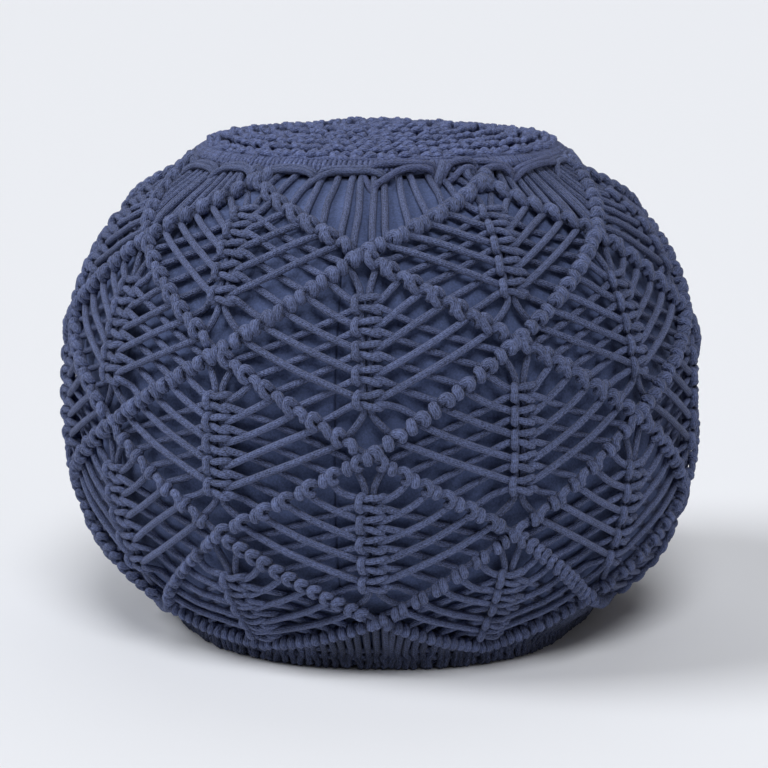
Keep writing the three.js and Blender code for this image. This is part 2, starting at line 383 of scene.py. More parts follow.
def near_place(axes, right, up, depth):
    """Places at distances right of and above a place with axes, at a depth. The arrays of distances
    have one more axis than the places."""
    here, to_right, upwards = (v[..., None, :] for v in axes)
    return with_depth(here + to_right * right[..., None] + upwards * up[..., None], depth)


def local_places(axes, table, rng, loose):
    """Places of a local shape at every knot, each point moved by up to loose millimetres."""
    wobble = rng.uniform(-loose, loose, axes[0].shape[:-1] + np.shape(table)) * (1, 1, 0.4)
    places = near_place(axes, *np.moveaxis((table + wobble) * MM, -1, 0))
    return places.reshape((-1,) + places.shape[-2:])


# Tubes and meshes


def skin(grids, rounds, length, tone, closed=False):
    """Faces over m grids of points (m, rings, sides, 3). Each ring is closed and, seen from outside,
    goes round to the left of the way on to the next ring, so that the faces point outwards. The
    first and the last ring have a cap each, or are joined if closed is true.
    A face corner's map is its share of the way round, from rounds, and its ring's length (m, rings).
    Returns vertices, numbers of the faces' vertices, face sizes, maps and tones."""
    m, p, sides = grids.shape[:3]
    grid = p * sides * np.arange(m)[:, None, None]
    i = np.arange(p if closed else p - 1)[:, None]
    j = np.arange(sides)
    corners = ((0, 0), (1, 0), (1, 1), (0, 1))
    quads = np.stack([grid + (i + di) % p * sides + (j + dj) % sides for di, dj in corners], axis=-1)
    maps = [np.stack(np.broadcast_arrays(rounds[j + dj], length[:, i + di]), axis=-1) for di, dj in corners]
    maps = np.stack(maps, axis=-2).reshape(-1, 2)
    faces = quads.ravel()
    sizes = np.full(quads.size // 4, 4)
    if not closed:
        caps = np.stack([grid[:, 0] + j, grid[:, 0] + p * sides - 1 - j])
        ends = np.stack([length[:, :1], length[:, p - 1:p]])
        cap_maps = np.stack(np.broadcast_arrays(rounds[j], ends), axis=-1).reshape(-1, 2)
        faces = np.append(faces, caps)
        sizes = np.append(sizes, np.full(2 * m, sides))
        maps = np.concatenate([maps, cap_maps])
    return grids.reshape(-1, 3), faces, sizes, maps, np.broadcast_to(tone, (m, p, sides)).ravel()


def sweep(paths, radius, reference, sides=8, flat=1.0, tone=0.5, closed=False):
    """Round tubes along many paths (m, p, 3) at once. With t the path's unit tangent, n the part of
    the reference direction square to t, and s = t x n, a point of the tube is
    centre + radius * (cos(angle) * s + flat * sin(angle) * n)."""
    if closed:
        along = unit(np.roll(paths, -1, axis=1) - np.roll(paths, 1, axis=1))
    else:
        along = unit(np.gradient(paths, axis=1))
    up = unit(reference - np.sum(reference * along, axis=-1, keepdims=True) * along)
    across = np.cross(along, up)
    angle = TURN * np.arange(sides)[:, None] / sides
    ring = np.cos(angle) * across[:, :, None] + flat * np.sin(angle) * up[:, :, None]
    radius = np.broadcast_to(radius, paths.shape[:2])[:, :, None, None]
    steps = np.linalg.norm(np.diff(paths, axis=1, append=paths[:, :1]), axis=-1)
    length = np.pad(np.cumsum(steps, axis=1), ((0, 0), (1, 0)))
    rounds = np.arange(sides + 1) / sides
    return skin(paths[:, :, None] + radius * ring, rounds, length, np.reshape(tone, (-1, 1, 1)), closed)


def side_cord(controls, radius, tone=0.5, count=0, **form):
    """Tubes along places of the pouf's side (m, n, 3), or along the smooth curves of count places
    through them, with the side's outward normal as reference."""
    places = catmull_rom(controls, count) if count else controls
    normals = outward(*side_tangent(places[..., 1]), places[..., 0])
    return sweep(on_side(places), radius, normals, tone=tone, **form)


def grid_surface(points, tone, rounds):
    """A surface through lines of points (lines, columns, 3) from the pole above to the one below,
    each closed by a cap. The map's length runs from the pole below. tone is one number or one for
    each column, and rounds are the columns' shares of the way round, with the first again at 1."""
    steps = np.linalg.norm(np.diff(points, axis=0), axis=-1).mean(axis=1)
    length = np.append(np.cumsum(steps[::-1])[::-1], 0)
    return skin(points[None], rounds, length[None], tone)


def taper(count, shares, widths):
    """Widths at count even places along a cord, running straight between those at some shares."""
    return np.interp(np.linspace(0, 1, count), shares, widths)


def add_piece(name, parts, replaces=(), material=None):
    """Joins parts into one mesh object that rides on the body, with its map and its tones. Without
    a material it takes the net's."""
    vertices, faces, sizes, maps, tones = (list(kind) for kind in zip(*parts))
    starts = np.cumsum([0] + [len(v) for v in vertices])
    faces = np.concatenate([numbers + start for numbers, start in zip(faces, starts)])
    vertices, sizes, maps, tones = (np.concatenate(v) for v in (vertices, sizes, maps, tones))
    vertices[:, 2] = np.maximum(vertices[:, 2], 0)
    mesh = bpy.data.meshes.new(name)
    mesh.vertices.add(len(vertices))
    mesh.vertices.foreach_set("co", vertices.ravel())
    mesh.loops.add(len(faces))
    mesh.loops.foreach_set("vertex_index", faces.astype(np.int32))
    mesh.polygons.add(len(sizes))
    mesh.polygons.foreach_set("loop_start", (np.cumsum(sizes) - sizes).astype(np.int32))
    mesh.polygons.foreach_set("use_smooth", np.ones(len(sizes), bool))
    mesh.uv_layers.new(name="cord_map").data.foreach_set("uv", maps.ravel())
    mesh.attributes.new("tone", "FLOAT", "POINT").data.foreach_set("value", tones.astype(np.float32))
    mesh.update(calc_edges=True)
    mesh.validate()
    mesh.materials.append(material or net_material())
    piece = bpy.data.objects.new(name, mesh)
    bpy.context.collection.objects.link(piece)
    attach(piece, "root")
    if replaces:
        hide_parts(*replaces)
    return piece


# Materials


def node(tree, kind, settings=None, **inputs):
    """Adds a node of a kind with its settings, which may be just the word of its operation. An
    input is named as on the node, with _ for a space, or by its number as n0; it is linked if it is
    another node, from its first output, or a node's output, and set if not."""
    made = tree.nodes.new("ShaderNode" + kind)
    if isinstance(settings, str):
        settings = {"operation": settings}
    for key, value in (settings or {}).items():
        setattr(made, key, value)
    for key, value in inputs.items():
        socket = made.inputs[int(key[1:]) if key[1:].isdigit() else key.replace("_", " ")]
        if isinstance(value, bpy.types.Node):
            value = value.outputs[0]
        if isinstance(value, bpy.types.NodeSocket):
            tree.links.new(value, socket)
        else:
            socket.default_value = value
    return made


def new_material(name):
    """An empty node material and its tree."""
    material = bpy.data.materials.new(name)
    material.use_nodes = True
    material.node_tree.nodes.clear()
    return material, material.node_tree


# Braid of the cord: yarns round it, length of one plait of them, and length of the lighter and
# darker dashes of yarn
RIBS = 12
PLAIT = 2.6 * MM
STREAK = 2.4 * MM


def braided_cotton(name, colour):
    """Braided cotton cord, reactive dyed and washed: matt, with a fine herringbone of yarns round
    it that reads as rows of short dashes; each yarn is painted darker towards its edges, as painted
    shade in the gaps between yarns. Lighter and darker grains about 1 mm apart, like loose fibres,
    vary it at random. Tone makes each length of cord a little lighter or darker than the next, and
    tones below 0 paint cords that lie under or behind others darker, as painted shade."""
    material, tree = new_material(name)
    place = node(tree, "SeparateXYZ", Vector=node(tree, "UVMap", {"uv_map": "cord_map"}))
    around = node(tree, "Math", "MULTIPLY", n0=place, n1=float(RIBS))
    rib = node(tree, "Math", "PINGPONG", n0=around, n1=1.0)
    along = node(tree, "Math", "DIVIDE", n0=place.outputs[1], n1=PLAIT)
    slanted = node(tree, "Math", "ADD", n0=along, n1=rib)
    phase = node(tree, "Math", "MULTIPLY", n0=slanted, n1=TURN)
    stripe = node(tree, "Math", "SINE", n0=phase)
    # The groove darkens each yarn towards its edges, painted shade in the gaps between yarns; it also
    # shapes the bump.
    off = node(tree, "Math", "SUBTRACT", n0=rib, n1=0.5)
    square = node(tree, "Math", "MULTIPLY", n0=off, n1=off)
    groove = node(tree, "Math", "MULTIPLY", n0=square, n1=-4.0)
    yarn = node(tree, "Math", "MULTIPLY_ADD", n0=stripe, n1=0.4, n2=groove)
    dash = node(tree, "Math", "DIVIDE", n0=place.outputs[1], n1=STREAK)
    # Tone varies each length of cord at random; below 0 it paints cords that lie under or behind others
    # darker, as painted shade.
    tone = node(tree, "Attribute", {"attribute_name": "tone"}).outputs["Fac"]
    drawn = node(tree, "CombineXYZ", X=around, Y=dash, Z=tone)
    fibres = node(tree, "TexNoise", Vector=drawn, Scale=1.0, Detail=2.0, Roughness=0.6)
    spot = node(tree, "TexCoord").outputs["Object"]
    fuzz = node(tree, "TexNoise", Vector=spot, Scale=950.0, Detail=2.0, Roughness=0.6)
    patches = node(tree, "TexNoise", Vector=spot, Scale=60.0, Detail=2.0, Roughness=0.5)
    # The noises are about 0.5 on average, so that the sum comes to about 1
    light = -0.84
    for part, share in ((tone, 0.24), (patches, 0.4), (fuzz, 1.8), (fibres, 1.6), (yarn, 0.32)):
        light = node(tree, "Math", "MULTIPLY_ADD", n0=part, n1=share, n2=light)
    held = node(tree, "Math", "MAXIMUM", n0=light, n1=0.3)
    base = node(tree, "VectorMath", "SCALE", n0=tuple(colour), Scale=held)
    relief = node(tree, "Math", "ADD", n0=fuzz, n1=yarn)
    bump = node(tree, "Bump", Strength=0.85, Distance=0.6 * MM, Height=relief)
    surface = node(tree, "BsdfPrincipled", Base_Color=base, Normal=bump, Roughness=0.88,
                   Specular_IOR_Level=0.3, Sheen_Weight=0.08, Sheen_Roughness=0.45)
    node(tree, "OutputMaterial", Surface=surface)
    return material


# Threads of the bag's cloth: in one turn round it, and up it in one metre
THREADS_ROUND = 1300.0
THREADS_UP = 1000.0


def plain_woven_cotton(name, colour):
    """Plain-woven cotton canvas, piece dyed: flat and matt, with a fine even grid of threads.
    The threads are about 0.5 mm apart, drawn at 1 mm so that they show. Where tone falls to 0, along
    a seam, the cloth is painted dark, as painted shade in the seam's fold."""
    material, tree = new_material(name)
    where = node(tree, "UVMap", {"uv_map": "cord_map"})
    threads = node(tree, "Mapping", Vector=where, Scale=(THREADS_ROUND, THREADS_UP, 1.0))
    place = node(tree, "SeparateXYZ", Vector=threads)
    weft, warp = (node(tree, "Math", "SINE", n0=node(tree, "Math", "MULTIPLY", n0=way, n1=TURN))
                  for way in (place.outputs[0], place.outputs[1]))
    weave = node(tree, "Math", "MULTIPLY", n0=weft, n1=warp)
    spot = node(tree, "TexCoord").outputs["Object"]
    slubs = node(tree, "TexNoise", Vector=spot, Scale=700.0, Detail=3.0, Roughness=0.6)
    patches = node(tree, "TexNoise", Vector=spot, Scale=30.0, Detail=2.0, Roughness=0.5)
    light = node(tree, "Math", "MULTIPLY_ADD", n0=slubs, n1=1.4, n2=0.07)
    light = node(tree, "Math", "MULTIPLY_ADD", n0=patches, n1=0.45, n2=light)
    tone = node(tree, "Attribute", {"attribute_name": "tone"}).outputs["Fac"]
    # Painted shade: the cloth's colour falls to half where tone falls to 0 along the seams.
    painted_seam_shade = node(tree, "Math", "MULTIPLY_ADD", n0=tone, n1=0.5, n2=0.5)
    light = node(tree, "Math", "MULTIPLY", n0=light, n1=painted_seam_shade)
    base = node(tree, "VectorMath", "SCALE", n0=tuple(colour), Scale=light)
    relief = node(tree, "Math", "MULTIPLY_ADD", n0=slubs, n1=1.2, n2=weave)
    puckers = node(tree, "Bump", Strength=0.7, Distance=4.0 * MM, Height=patches)
    bump = node(tree, "Bump", Strength=0.5, Distance=0.25 * MM, Height=relief, Normal=puckers)
    surface = node(tree, "BsdfPrincipled", Base_Color=base, Normal=bump, Roughness=0.92,
                   Specular_IOR_Level=0.2, Sheen_Weight=0.05, Sheen_Roughness=0.5)
    node(tree, "OutputMaterial", Surface=surface)
    return material


def painted_floor(name, colour):
    """Smooth painted floor of a photo studio: pale, even and matt."""
    material, tree = new_material(name)
    surface = node(tree, "BsdfPrincipled", Base_Color=(*colour, 1.0), Roughness=0.8, Specular_IOR_Level=0.1)
    node(tree, "OutputMaterial", Surface=surface)
    return material


def net_material():
    """The one material that all the net's cords share."""
    known = bpy.data.materials.get("braided_cotton_cord")
    return known or braided_cotton("braided_cotton_cord", bpy.context.scene.pouf_colours.net)


# The pieces

# The bag's form: gap under the disc, radius that it keeps inside the disc's edge, radius of the caps
# at its poles, ends of its side and shares between which the side comes up to the shoulder
BAG_GAP = 1.2 * MM
BAG_INSET = 2 * MM
POLE = 0.2 * MM
BAG_SIDE = (1.04, 0.055)
SHOULDER_SHARES = (0.86, 0.97)
BAG_FOOT = MM * np.array([(3.2, 148), (0.8, 145), (0, 141), (0, 110), (0, 60), (0, 0.2)])

# Its seams: how many, the first one's turn, depth and half width of the groove, columns of points
# beside each, in millimetres, and radius that these are for. Inside SEAM_END they fade out.
SEAMS = 4
FIRST_SEAM = math.radians(-7.8)
SEAM_GROOVE = 1.2 * MM
SEAM_WIDTH = 0.6 * MM
SEAM_COLUMNS = np.array([-2.0, -1.0, -0.5, 0, 0.5, 1.0, 2.0])
SEAM_RADIUS = 215 * MM
SEAM_END = 150 * MM
BAG_COLUMNS = 200


def bag_profile():
    """Profile of the bag as height and radius, from the middle of the top out over the crown, down
    the side, round the foot and in to the middle of the underside."""
    height, radius = (np.interp(np.linspace(1, 0, 30), DISC_SHARE, v) for v in DISC.T)
    radius = np.maximum(radius - BAG_INSET * (radius > 0), POLE)
    crown = np.stack([height - DISC_THICKNESS - BAG_GAP, radius], axis=-1)
    share = np.linspace(*BAG_SIDE, 78)
    depth = np.interp(share, SHOULDER_SHARES, (BAG_DEPTH, SHOULDER_DEPTH))
    side = np.stack(side_point(share, depth), axis=-1)
    return catmull_rom(np.concatenate([crown, side, BAG_FOOT]), 150)


class POUF_OT_bag(bpy.types.Operator):
    """Filled cotton bag inside the net"""

    bl_idname = "pouf.bag"
    bl_label = "Filled bag"

    def execute(self, context):
        """The bag's profile turned about the upright axis. A point is at (height, radius) of the
        profile, less a groove that is a bell across each of the four upright seams. It fades out
        inwards as the fourth power of the radius."""
        height, radius = bag_profile().T[..., None]
        seams = FIRST_SEAM + TURN / SEAMS * np.arange(SEAMS)
        beside = (seams[:, None] + SEAM_COLUMNS * MM / SEAM_RADIUS).ravel()
        turn = np.append(TURN * np.arange(BAG_COLUMNS) / BAG_COLUMNS, beside)
        turn = np.unique(np.round(turn % TURN, 6))
        off = (turn[:, None] - seams + math.pi) % TURN - math.pi
        near = bell(off * SEAM_RADIUS / SEAM_WIDTH).sum(axis=1)
        radius = radius - SEAM_GROOVE * near * np.clip(radius / SEAM_END, 0, 1) ** 4
        rounds = np.append(turn, turn[0] + TURN) / TURN
        # Tone is 1 less the seams' bells, so that the cloth is painted darker along the seams as painted
        # shade.
        shell = grid_surface(round_place(height, radius, turn), 1 - near, rounds)
        cloth = plain_woven_cotton("plain_woven_cotton_canvas", context.scene.pouf_colours.bag)
        bag = add_piece("filled_bag", [shell], ["inner_bag"], cloth)
        return {"FINISHED"}


# Shapes of the loops of a double half hitch round its leader: millimetres right and up from the
# loop's middle on the ridge, and depth of the cord's middle
CRESCENT = np.array([
    (2.6, 1.0, 6.4), (2.0, 2.3, 4.0), (-0.2, 3.1, 2.7), (-1.8, 1.4, 2.2),
    (-1.8, -1.1, 2.5), (-0.4, -3.0, 3.8), (1.4, -3.2, 6.6),
])
HOOK = np.array([
    (-4.6, 0.6, 6.2), (-3.2, 1.5, 3.9), (-1.2, 1.8, 2.5), (0.5, 0.8, 2.0),
    (1.1, -1.1, 2.4), (0.9, -2.5, 4.2), (0.5, -2.7, 7.2),
])
BAR = np.array([
    (-0.3, 1.4, 7.5), (-0.45, 2.1, 4.6), (-0.35, 1.3, 2.7), (0, 0, 2.1),
    (0.35, -1.3, 2.7), (0.45, -2.1, 4.6), (0.3, -1.4, 7.5),
])

# Loops of a pair in the upper rows and in the three rows below: millimetres from the pair's middle,
# shape and width in cords of the upper loop, and of the lower one. The last falling style is that
# of the second row below, from its first crossing right of the front on.
FALLING_LOOPS = (
    (4.9, CRESCENT * (1.28, 1.4, 1), 1.26, HOOK * (1.1, 1.3, 1), 1.34),
    (3.6, CRESCENT * (-1.3, 1.35, 1), 1.16, BAR * (-1.1, 1.3, 1), 1.3),
    (3.0, BAR * (-1, 1.15, 1), 1.2, BAR * (-1, 1.15, 1), 1.2),
    (3.3, BAR * (-1, 1.1, 1), 1.2, BAR * (-1, 1.1, 1), 1.2),
    (4.2, CRESCENT * (1.15, 1.25, 1), 1.16, CRESCENT * (1.1, 1.2, 1), 1.2),
)
RISING_LOOPS = (
    (4.6, HOOK * (0.95, 1.1, 1), 1.52, BAR * (1.1, 1.4, 1), 1.48),
    (3.6, CRESCENT * (1.3, 1.35, 1), 1.16, BAR * (1.1, 1.3, 1), 1.3),
    (3.1, BAR * (1, 1.15, 1), 1.2, BAR * (1, 1.15, 1), 1.2),
    (3.3, BAR * (1, 1.1, 1), 1.2, BAR * (1, 1.1, 1), 1.2),
)

# Ways of the rising ridge's loops at a crossing, one above it and one below
CROSSING_LOOPS = (0.962, 1.02)
LOOP_SHEAR = 0.25
LOOP_POINTS = 12
LOOP_FLATNESS = 0.88
LOOP_HEART = 8 * MM

# Chance in a loop: millimetres that a point moves, factor on its size, lean and factor on its width
LOOP_LOOSE = 0.35
LOOP_SIZES = (0.93, 1.07)
LOOP_LEAN = 0.14
LOOP_WIDTHS = (0.94, 1.05)


def loop_parts(side, rng, cord):
    """The loops of the double half hitches on the falling ridges, 1, or the rising ones, -1. Each
    shape is a smooth curve through its table's points, laid upright at its place on the ridge and
    sheared up and down with the ridge's slope. It faces away from a place LOOP_HEART deep."""
    a, b = (v[:, None] for v in crossings(np.arange(TOP_ROW, LAST_ROW), 1))
    row = (a - b)[:, 0]
    styles = FALLING_LOOPS if side > 0 else RISING_LOOPS
    kind = np.clip(row - MIDDLE_ROW + 1, 0, 3).astype(int)
    if side > 0:
        kind[(row == MIDDLE_ROW + 1) & ((a + b)[:, 0] > 0)] = len(styles) - 1
    away, *loops = (np.array([style[k] for style in styles])[kind][:, None] for k in range(5))
    ends = on_ridge(a, b, side, np.array([0.0, 1.0]))
    stretch = np.linalg.norm((ends[:, 1] - ends[:, 0]) * round_scale(ends[:, 0, 1]), axis=-1)[:, None]
    middles = np.append(PAIR_WAYS, RIM_LOOPS)
    widths = taper(LOOP_POINTS, (0, 0.25, 0.5, 0.75, 1), (0.84, 0.98, 1.05, 0.98, 0.84))
    parts = []
    for half, table, width, crossing_way in zip((-1, 1), loops[::2], loops[1::2], CROSSING_LOOPS):
        shown = (middles > 0) | (row == TOP_ROW)[:, None]
        t = middles + half * away * MM / stretch
        if side < 0:
            t = np.append(t, np.full_like(a, crossing_way), axis=1)
            shown = np.append(shown, np.ones_like(a, bool), axis=1)
        t = t + rng.uniform(-LOOSE_WAY, LOOSE_WAY, t.shape)
        axes = upright_axes(on_ridge(a, b, side, t))
        wobble = rng.uniform(-LOOP_LOOSE, LOOP_LOOSE, t.shape + table.shape[2:]) * (1, 1, 0.5)
        grow = rng.uniform(*LOOP_SIZES, t.shape + (1, 1))
        lean = rng.uniform(-LOOP_LEAN, LOOP_LEAN, t.shape + (1,))
        right, up, depth = np.moveaxis((table * grow + wobble) * MM, -1, 0)
        places = near_place(axes, right + lean * up, up - side * LOOP_SHEAR * right, depth)[shown]
        heart = near_place(axes, 0 * lean, 0 * lean, LOOP_HEART)[shown]
        path = on_side(catmull_rom(places, LOOP_POINTS))
        girth = cord / 2 * np.broadcast_to(width, t.shape)[shown][:, None] * widths
        girth = girth * rng.uniform(*LOOP_WIDTHS, (len(path), 1))
        parts.append(sweep(path, girth, path - on_side(heart), flat=LOOP_FLATNESS,
                           tone=rng.uniform(0, 1, len(path))))
    return parts


# Leader cords where they cross: how far one passes over the mean depth and the other under it, and
# half the way that it takes
LEADER_DIP = 2.4 * MM
LEADER_DIP_WAY = 0.1


def leader_part(side, rng, cord):
    """The leader cords inside the falling ridges, 1, or the rising ones, -1, carried from the header
    down to the foot. Where two leaders cross, the falling one passes over and the other under it:
    their depths change by a bell of the way from the crossing."""
    a, b = (v[:, None] for v in crossings([0], 1))
    way = np.linspace(TOP_ROW, LAST_ROW, 12 * (LAST_ROW - TOP_ROW) + 1)
    depth = LEADER_DEPTH - side * LEADER_DIP * bell((way - np.round(way)) / LEADER_DIP_WAY)
    places = with_depth(on_ridge(a, b, side, way), depth)
    # Tones below 0 paint the leaders darker, as painted shade under the hitches.
    return side_cord(places, cord / 2 * 0.85, rng.uniform(-0.6, -0.2, REPEATS))


class POUF_OT_ridges(bpy.types.Operator):
    """Diagonal ridges of double half hitches over leader cords"""

    bl_idname = "pouf.ridges"
    bl_label = "Knotted ridges"

    def execute(self, context):
        cord = context.scene.pouf_sizes.cord
        rng = np.random.default_rng(11)
        falling = loop_parts(1, rng, cord)
        rising = loop_parts(-1, rng, cord)
        leaders = [leader_part(side, rng, cord) for side in (1, -1)]
        add_piece("falling_ridge_hitches", falling, ["macrame_net"])
        add_piece("rising_ridge_hitches", rising)
        add_piece("ridge_leaders", leaders)
        return {"FINISHED"}


def diamonds():
    """Lattice coordinates a and b of the left corners of all the diamonds."""
    return crossings(np.arange(LAST_ROW), -1)


# Cords of one square knot: millimetres right and up from its middle and depth
KNOT_BAR = np.array([
    (-2.4, 3.0, 6.8), (-4.8, 4.8, 4.6), (-6.2, 3.4, 2.6), (-6.5, 0.1, 1.9),
    (-6.3, -3.4, 2.6), (-4.9, -4.8, 4.6), (-2.4, -3.0, 6.8),
])
KNOT_UPPER = np.array([
    (-5.8, 2.9, 5.6), (-2.9, 3.0, 3.6), (1.2, 3.6, 2.9),
    (5.4, 4.3, 3.1), (8.8, 4.6, 4.8), (10.4, 3.4, 8.0),
])
KNOT_LOWER = np.array([
    (-5.8, -1.4, 5.8), (-2.9, -2.2, 3.8), (1.0, -3.5, 3.0),
    (5.0, -5.0, 3.4), (8.0, -5.8, 5.2), (9.6, -5.0, 8.4),
])

# For each of them the points along it and its width in cords at its middle and at its ends
KNOT_CORDS = ((KNOT_BAR, 11, 1.08, 0.95), (KNOT_UPPER, 10, 0.97, 0.62), (KNOT_LOWER, 10, 0.97, 0.7))


class POUF_OT_square_knots(bpy.types.Operator):
    """Columns of square knots with their filler cords"""

    bl_idname = "pouf.square_knots"
    bl_label = "Square knots"

    def execute(self, context):
        cord = context.scene.pouf_sizes.cord
        rng = np.random.default_rng(23)
        a, b = diamonds()
        axes = knot_axes(a, b)
        parts = []
        for table, count, middle, end in KNOT_CORDS:
            controls = local_places(axes, table, rng, 0.5)
            girth = cord / 2 * taper(count, (0, 0.35, 0.65, 1), (end, middle, middle, end))
            parts.append(side_cord(controls, girth, rng.uniform(0, 1, len(controls)), count))
        add_piece("square_knots", parts)
        add_piece("column_fillers", [filler_part(a, b, axes, side, rng, cord) for side in (-1, 1)])
        return {"FINISHED"}


# Filler cords: millimetres beside the column's middle line in the knots and at its ends, and how far
# above the first knot and below the last one those ends are
FILLER_SPREAD = (2.4, 3.0)
FILLER_OFF = 3.4
FILLER_REACH = 11.0


def filler_part(a, b, axes, side, rng, cord):
    """One filler cord for each column, from the ridge above, straight down through the five knots,
    to the ridge below. side is -1 for the left cord and 1 for the right one."""
    top = on_ridge(a, b + 1, side, PAIR_WAYS[0])
    low = on_lower_edge(a, b, side, PAIR_WAYS[-1])
    spread = rng.uniform(*FILLER_SPREAD, axes[0].shape[:-1] + (1,)) * side * MM
    middle = near_place(axes, spread, 0 * spread, FILLER_DEPTH)[..., 0, :]
    off = np.full((len(a), 1), FILLER_OFF * MM * side)
    above, below = (near_place([v[:, k] for v in axes], off, 0 * off + up * MM, FILLER_DEPTH)
                    for k, up in ((0, FILLER_REACH), (-1, -FILLER_REACH)))
    start, end = (with_depth(v, UNDER_RIDGE_DEPTH)[:, None] for v in (top, low))
    controls = np.concatenate([start, above, middle, below, end], axis=1)
    # Tones from -0.6 to 0.4 vary the fillers at random and mostly paint them darker, as painted shade
    # behind the knots.
    return side_cord(controls, cord / 2 * 0.98, rng.uniform(-0.6, 0.4, len(a)), 33)


# How far the straight cords sag in the first, third, fourth and fifth rows of diamonds, in millimetres
SAG_BY_ROW = (0.2, 1.5, 2.4, 3.6)

# Last two points of the straight cords at a knot, on its left and on its right: millimetres right
# and up from its middle, and depth
IN_FLOAT_ENDS = {-1: [(-9.6, 3.6, 5.6), (-4.6, 1.2, 7.4)], 1: [(9.4, 1.8, 5.4), (4.6, -0.4, 7.6)]}
OUT_FLOAT_ENDS = {-1: [(-9.8, -3.4, 7.2), (-4.6, -1.6, 7.0)], 1: [(9.4, -3.2, 4.6), (4.2, -3.0, 6.4)]}

# Their other three points: share of the way from the ridge to the knot, millimetres outwards for a
# cord that runs out, and share of the sag
FLOAT_SHARES = np.array([0.12, 0.4, 0.7])
FLOAT_RISE = np.array([0.8, 0, 0.2])
FLOAT_SAG = np.array([0.5, 1.0, 0.8])
FLOAT_START = 1.5 * MM
FLOAT_SLACK = {-1: 1.6, 1: 2.6}


def float_part(a, b, axes, side, inwards, rng, cord):
    """The straight lengths of cord between the ridges and the knots on one side of every diamond.
    Cords that run in to the knots start under the ridge above and lie outermost; cords that run out
    end under the ridge below and lie behind them."""
    way = PAIR_WAYS[1:] if inwards else PAIR_WAYS[:-1]
    a, b = a[:, None], b[:, None]
    way = way + rng.uniform(-LOOSE_WAY, LOOSE_WAY, (len(a), len(KNOT_ROWS)))
    if inwards:
        ridge, ends, depth, down = on_ridge(a, b + 1, side, way), IN_FLOAT_ENDS, IN_FLOAT_DEPTH, -1
    else:
        ridge, ends, depth, down = on_lower_edge(a, b, side, way), OUT_FLOAT_ENDS, OUT_FLOAT_DEPTH, 1
    knot = local_places(axes, ends[side], rng, 0.4)
    start = with_depth(ridge, UNDER_RIDGE_DEPTH - FLOAT_START).reshape(-1, 1, 3)
    start[..., 1] += down * FLOAT_START / SIDE_LENGTH
    between = start + (knot[:, :1] - start) * FLOAT_SHARES[:, None]
    between[..., 2] = depth - down * FLOAT_RISE * MM
    slack = rng.uniform(0, 1, (len(start), 1)) ** 2 * FLOAT_SLACK[side] * MM
    sag = np.interp(a - b, (0, 2, 3, 4), SAG_BY_ROW)[:, :, None] * rng.uniform(0.6, 1.2, way.shape + (1,))
    between[..., 1] += (slack - sag.reshape(-1, 1) * MM) * FLOAT_SAG / SIDE_LENGTH
    controls = np.concatenate([start, between, knot], axis=1)
    return side_cord(controls, cord / 2, rng.uniform(0, 1, len(controls)), 13)


class POUF_OT_floats(bpy.types.Operator):
    """Straight cords between the ridges and the knot columns"""

    bl_idname = "pouf.floats"
    bl_label = "Floating cords"

    def execute(self, context):
        cord = context.scene.pouf_sizes.cord
        rng = np.random.default_rng(37)
        a, b = diamonds()
        axes = knot_axes(a, b)
        for name, inwards in (("cords_running_in", True), ("cords_running_out", False)):
            add_piece(name, [float_part(a, b, axes, side, inwards, rng, cord) for side in (-1, 1)])
        return {"FINISHED"}


# Shapes of the two cords of one header stitch: share of the stitch's span, millimetres up from the
# rim, and depth of the cord's middle
HEADER_LOWER = np.array([
    (-0.06, 3.0, 8.8), (0.0, 5.8, 5.2), (0.14, 11.0, 3.4), (0.32, 14.6, 2.9),
    (0.55, 15.6, 2.7), (0.82, 15.2, 2.9), (0.99, 12.6, 4.8), (1.06, 10.8, 8.8),
])
HEADER_UPPER = np.array([
    (0.04, 13.5, 8.0), (0.12, 16.4, 4.4), (0.3, 18.4, 3.8), (0.58, 19.2, 3.5),
    (0.84, 18.6, 3.8), (1.0, 16.0, 5.2), (1.07, 14.0, 8.6),
])
HEADER_POINTS = 18

# Rings of cord inside the header: millimetres up from the rim, and depth
HEADER_RINGS = np.array([(21.6, 7.8), (25.6, 8.2)])
RING_POINTS = 200

# The lacing's two turns where they show: degrees round, millimetres up from the rim, depth
LACING_FIRST = np.array([
    (-3.4, 16.0, 6.4), (-2.2, 19.4, 2.0), (1.5, 20.2, 0.4), (5.5, 20.2, 0.0), (10.0, 20.0, 0.1),
    (14.0, 19.6, 0.8), (15.6, 17.6, 4.2), (16.4, 12.6, 7.0), (17.2, 10.6, 4.6), (18.8, 15.2, 1.8),
    (20.6, 19.0, 0.5), (23.5, 21.0, 0.0), (26.6, 21.2, 0.6), (28.6, 20.4, 3.6), (28.8, 21.6, 6.4),
    (28.9, 22.4, 4.2), (30.6, 20.4, 1.2), (34.8, 16.6, 0.2), (38.0, 13.4, 1.0), (40.2, 10.8, 4.6),
    (40.6, 9.8, 7.0), (41.0, 11.2, 4.4), (43.0, 12.0, 1.4), (47.0, 13.4, 0.4), (53.5, 15.5, 0.2),
    (58.0, 16.4, 0.8), (60.4, 16.8, 4.4),
])
